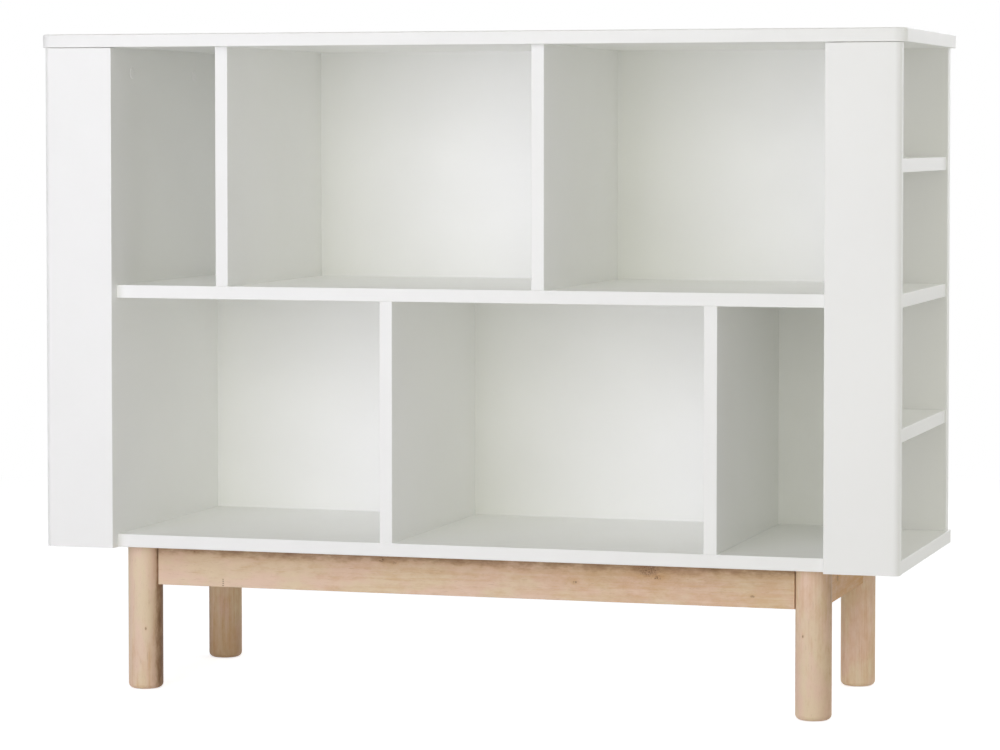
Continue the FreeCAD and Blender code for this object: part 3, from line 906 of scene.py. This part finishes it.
class MakeBoardScrews(bpy.types.Operator):
    """Model the board screws, with hexagon sockets, under the bottom board"""

    bl_idname = "bookcase.make_board_screws"
    bl_label = "Board screws"

    def execute(self, context):
        sizes = context.scene.bookcase_fittings
        screw = turned_screw(
            "board_screw", sizes.board_head, cone=3.2 * MM, shank=4.9 * MM, length=49.5 * MM,
            steps=sizes.lathe_steps,
        )
        collar = turn_on_lathe(
            "collar",
            [
                (0, -3.0 * MM), (3.4 * MM, -3.0 * MM), (3.4 * MM, -17.0 * MM),
                (2.4 * MM, -18.0 * MM), (0, -18.0 * MM),
            ],
            sizes.lathe_steps,
        )
        deselect()
        bpy.ops.mesh.primitive_cylinder_add(
            vertices=6, radius=sizes.socket / math.sqrt(3), depth=3.2 * MM,
            location=(0, 0, -1.0 * MM),
        )
        socket = bpy.context.object
        combine(screw, "UNION", [collar])
        combine(screw, "DIFFERENCE", [socket])
        ease_edges(screw, 0.1 * MM)
        smooth(screw)
        turn = rolls(5)
        spots = [(middle(wall).x, y) for wall in WALLS_SCREWED for y in FITTING_YS]
        for side in ("left", "right"):
            spots.append((middle(f"{side}_niche_shelf_1").x, middle(f"{side}_rear_panel").y))
        places = [((x, y, BASE_LOW.z), (0, 0, -1), next(turn)) for x, y in spots]
        screws = set_out(screw, "board_screws_turned", places)
        fit_piece(screws, plated_steel("plated_board_screws"), "plated_steel", "board_screws")
        return {"FINISHED"}


class MakeFrameScrews(bpy.types.Operator):
    """Model the cross-headed screws deep in the rails' undersides"""

    bl_idname = "bookcase.make_frame_screws"
    bl_label = "Frame screws"

    def execute(self, context):
        sizes = context.scene.bookcase_fittings
        screw = turned_screw(
            "frame_screw", sizes.frame_head, cone=2.4 * MM, shank=3.9 * MM, length=44.5 * MM,
            steps=sizes.lathe_steps,
        )
        cross = crossed(
            length=4.4 * MM, width=1.0 * MM, depth=2.6 * MM, tip_share=0.5, top=0.6 * MM
        )
        combine(screw, "DIFFERENCE", cross)
        ease_edges(screw, 0.06 * MM)
        smooth(screw)
        turn = rolls(7)
        spots = []
        for rail in ("front_rail", "rear_rail"):
            centre = middle(rail)
            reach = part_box(rail)[1].x - FRAME_SCREW_INSET
            spots += [(x, centre.y) for x in (-reach, 0, reach)]
        spots += [(middle(rail).x, middle(rail).y) for rail in ("left_rail", "right_rail")]
        places = [((x, y, FRAME_SCREW_LEVEL), (0, 0, -1), next(turn)) for x, y in spots]
        screws = set_out(screw, "frame_screws_turned", places)
        fit_piece(screws, plated_steel("plated_frame_screws"), "plated_steel", "frame_screws")
        return {"FINISHED"}


class MakeBackScrews(bpy.types.Operator):
    """Model the small cross-headed screws round the back panel"""

    bl_idname = "bookcase.make_back_screws"
    bl_label = "Back screws"

    def execute(self, context):
        sizes = context.scene.bookcase_fittings
        screw = turned_screw(
            "back_screw", sizes.back_head, cone=1.4 * MM, shank=2.4 * MM, length=15.5 * MM,
            steps=sizes.lathe_steps,
        )
        cross = crossed(
            length=2.8 * MM, width=0.7 * MM, depth=1.6 * MM, tip_share=0.5, top=0.5 * MM
        )
        combine(screw, "DIFFERENCE", cross)
        ease_edges(screw, 0.04 * MM)
        smooth(screw)
        turn = rolls(11)
        shelf_z = middle("middle_shelf").z
        x = BACK_HIGH.x - BACK_SCREW_INSET
        low = BACK_LOW.z + BACK_LAP / 2
        high = BACK_HIGH.z - BACK_LAP / 2
        spots = [(side * x, z) for side in (-1, 1) for z in (low, shelf_z, high)]
        x = BACK_HIGH.x - BACK_LAP / 2
        halves = ((BACK_LOW.z + shelf_z) / 2, (BACK_HIGH.z + shelf_z) / 2)
        spots += [(side * x, z) for side in (-1, 1) for z in halves]
        places = [((x, BACK_HIGH.y, z), (0, 1, 0), next(turn)) for x, z in spots]
        screws = set_out(screw, "back_screws_turned", places)
        fit_piece(screws, plated_steel("plated_back_screws"), "plated_steel", "back_screws")
        return {"FINISHED"}


class MakeGlides(bpy.types.Operator):
    """Model the pressed felt glides under the legs"""

    bl_idname = "bookcase.make_glides"
    bl_label = "Felt glides"

    def execute(self, context):
        sizes = context.scene.bookcase_fittings
        radius = sizes.glide / 2
        profile = [
            (0, 0.0), (radius - 0.7 * MM, 0.0), (radius - 0.25 * MM, 0.15 * MM),
            (radius, 0.6 * MM), (radius - 0.05 * MM, 1.4 * MM), (radius - 0.1 * MM, 2.6 * MM),
            (radius - 0.4 * MM, 2.95 * MM), (0, 2.95 * MM),
        ]
        glide = turn_on_lathe("glide", profile, sizes.lathe_steps)
        smooth(glide, 50)
        places = [((middle(leg).x, middle(leg).y, 0.0), (0, 0, 1), 0.0) for leg in LEGS]
        glides = set_out(glide, "felt_glides", places)
        fit_piece(glides, felt_finish("grey_felt", FELT), "felt", "leg_glides")
        return {"FINISHED"}


class SetStage(bpy.types.Operator):
    """Lay the pale floor and set the soft lamps and the camera"""

    bl_idname = "bookcase.set_stage"
    bl_label = "Stage"

    def execute(self, context):
        stage = context.scene.bookcase_stage
        scene = context.scene
        scene.view_settings.view_transform = "Standard"
        lay_floor()
        light_world(scene, stage.world_strength)
        for name, (place, size, tint) in LAMPS.items():
            power = getattr(stage, name.replace("_lamp", "_power"))
            lamp(name, place, size, power, tint)
        scene.cycles.diffuse_bounces = LIGHT_BOUNCES
        set_camera(scene, stage)
        return {"FINISHED"}


def lay_floor():
    """A pale floor that looks white and keeps the soft shadow under the object."""
    deselect()
    bpy.ops.mesh.primitive_plane_add(size=FLOOR_SIZE, location=(0, 0, 0))
    floor = bpy.context.object
    floor.name = "floor"
    s = material("pale_floor")
    x, y, z = s.place_mm()
    tone = s.noise(s.point(x, y, z), 0.004)
    pale = s.mix(tone, *(rgba(colour) for colour in FLOOR_TONES))
    lit = s.add("ShaderNodeBsdfDiffuse", None, {"Color": pale})
    shaded = s.add("ShaderNodeBsdfDiffuse", None, {"Color": rgba(FLOOR_SHADOW)})
    glow = s.add("ShaderNodeEmission", None, {"Color": rgba(WHITE), "Strength": FLOOR_GLOW})
    seen = s.add("ShaderNodeAddShader", None, {0: shaded, 1: glow})
    white = s.add("ShaderNodeEmission", None, {"Color": rgba(WHITE), "Strength": 1.0})
    away = (x * x + y * y).root().step(*SHADOW_ENDS)
    seen = s.add("ShaderNodeMixShader", None, {0: away, 1: seen, 2: white})
    both = s.add("ShaderNodeMixShader", None, {0: direct_look(s), 1: lit, 2: seen})
    floor.data.materials.append(s.finish(both))


def direct_look(s):
    """1 for what the eye, a mirror or glass shows, and 0 for light that falls on things."""
    looks = [
        s.add("ShaderNodeLightPath", output=output)
        for output in ("Is Camera Ray", "Is Glossy Ray", "Is Transmission Ray")
    ]
    return (looks[0] + looks[1] + looks[2]).math("MINIMUM", 1.0)


def light_world(scene, strength):
    """Soft light from all round, which is seen as white."""
    scene.world = bpy.data.worlds.new("soft_room")
    s = Shader(scene.world)
    shows = direct_look(s)
    tint = s.mix(shows, rgba(ROOM), rgba(WHITE))
    values = {"Color": tint, "Strength": strength + (1.0 - strength) * shows}
    s.add("ShaderNodeOutputWorld", None, {"Surface": s.add("ShaderNodeBackground", None, values)})


def lamp(name, place, size, power, tint):
    """A square soft lamp that faces the object and isn't seen itself."""
    light = bpy.data.lights.new(name, "AREA")
    light.shape = "SQUARE"
    light.size = size
    light.energy = power
    light.color = tint
    holder = bpy.data.objects.new(name, light)
    holder.location = place
    aim = Vector(LAMP_AIM) - Vector(place)
    holder.rotation_euler = aim.to_track_quat("-Z", "Y").to_euler()
    holder.visible_camera = False
    bpy.context.scene.collection.objects.link(holder)


def set_camera(scene, stage):
    """The camera that the stage's settings describe."""
    data = bpy.data.cameras.new("camera")
    data.sensor_fit = "HORIZONTAL"
    data.sensor_width = 36
    data.lens = stage.lens
    data.shift_y = CAMERA_SHIFT
    data.clip_end = 100
    camera = bpy.data.objects.new("camera", data)
    camera.location = stage.camera_place
    camera.rotation_euler = (math.pi / 2 - stage.camera_dip, 0, stage.camera_turn)
    scene.collection.objects.link(camera)
    scene.camera = camera


class BookcasePanel(bpy.types.Panel):
    """The bookcase's pieces and settings"""

    bl_idname = "VIEW3D_PT_bookcase"
    bl_label = "Bookcase"
    bl_space_type = "VIEW_3D"
    bl_region_type = "UI"
    bl_category = "Bookcase"

    def draw(self, context):
        for operator in OPERATORS:
            self.layout.operator(operator.bl_idname)
        for name, group in SETTINGS.items():
            column = self.layout.column()
            for prop in group.__annotations__:
                column.prop(getattr(context.scene, name), prop)


SETTINGS = {
    "bookcase_lacquer": BookcaseLacquer,
    "bookcase_wood": BookcaseWood,
    "bookcase_fittings": BookcaseFittings,
    "bookcase_stage": BookcaseStage,
}
OPERATORS = (
    LacquerBoards, PaintBack, OilFrame, FinishHiddenFittings, MakeCaps, MakeBoardScrews,
    MakeFrameScrews, MakeBackScrews, MakeGlides, SetStage,
)


def register():
    for group in (*SETTINGS.values(), *OPERATORS, BookcasePanel):
        bpy.utils.register_class(group)
    for name, group in SETTINGS.items():
        setattr(bpy.types.Scene, name, PointerProperty(type=group))


def unregister():
    for name in SETTINGS:
        delattr(bpy.types.Scene, name)
    for group in (BookcasePanel, *reversed(OPERATORS), *reversed(SETTINGS.values())):
        bpy.utils.unregister_class(group)


def main():
    register()
    bpy.ops.bookcase.lacquer_boards()
    bpy.ops.bookcase.paint_back()
    bpy.ops.bookcase.oil_frame()
    bpy.ops.bookcase.finish_hidden_fittings()
    bpy.ops.bookcase.make_caps()
    bpy.ops.bookcase.make_board_screws()
    bpy.ops.bookcase.make_frame_screws()
    bpy.ops.bookcase.make_back_screws()
    bpy.ops.bookcase.make_glides()
    bpy.ops.bookcase.set_stage()


if __name__ == "__main__":
    main()
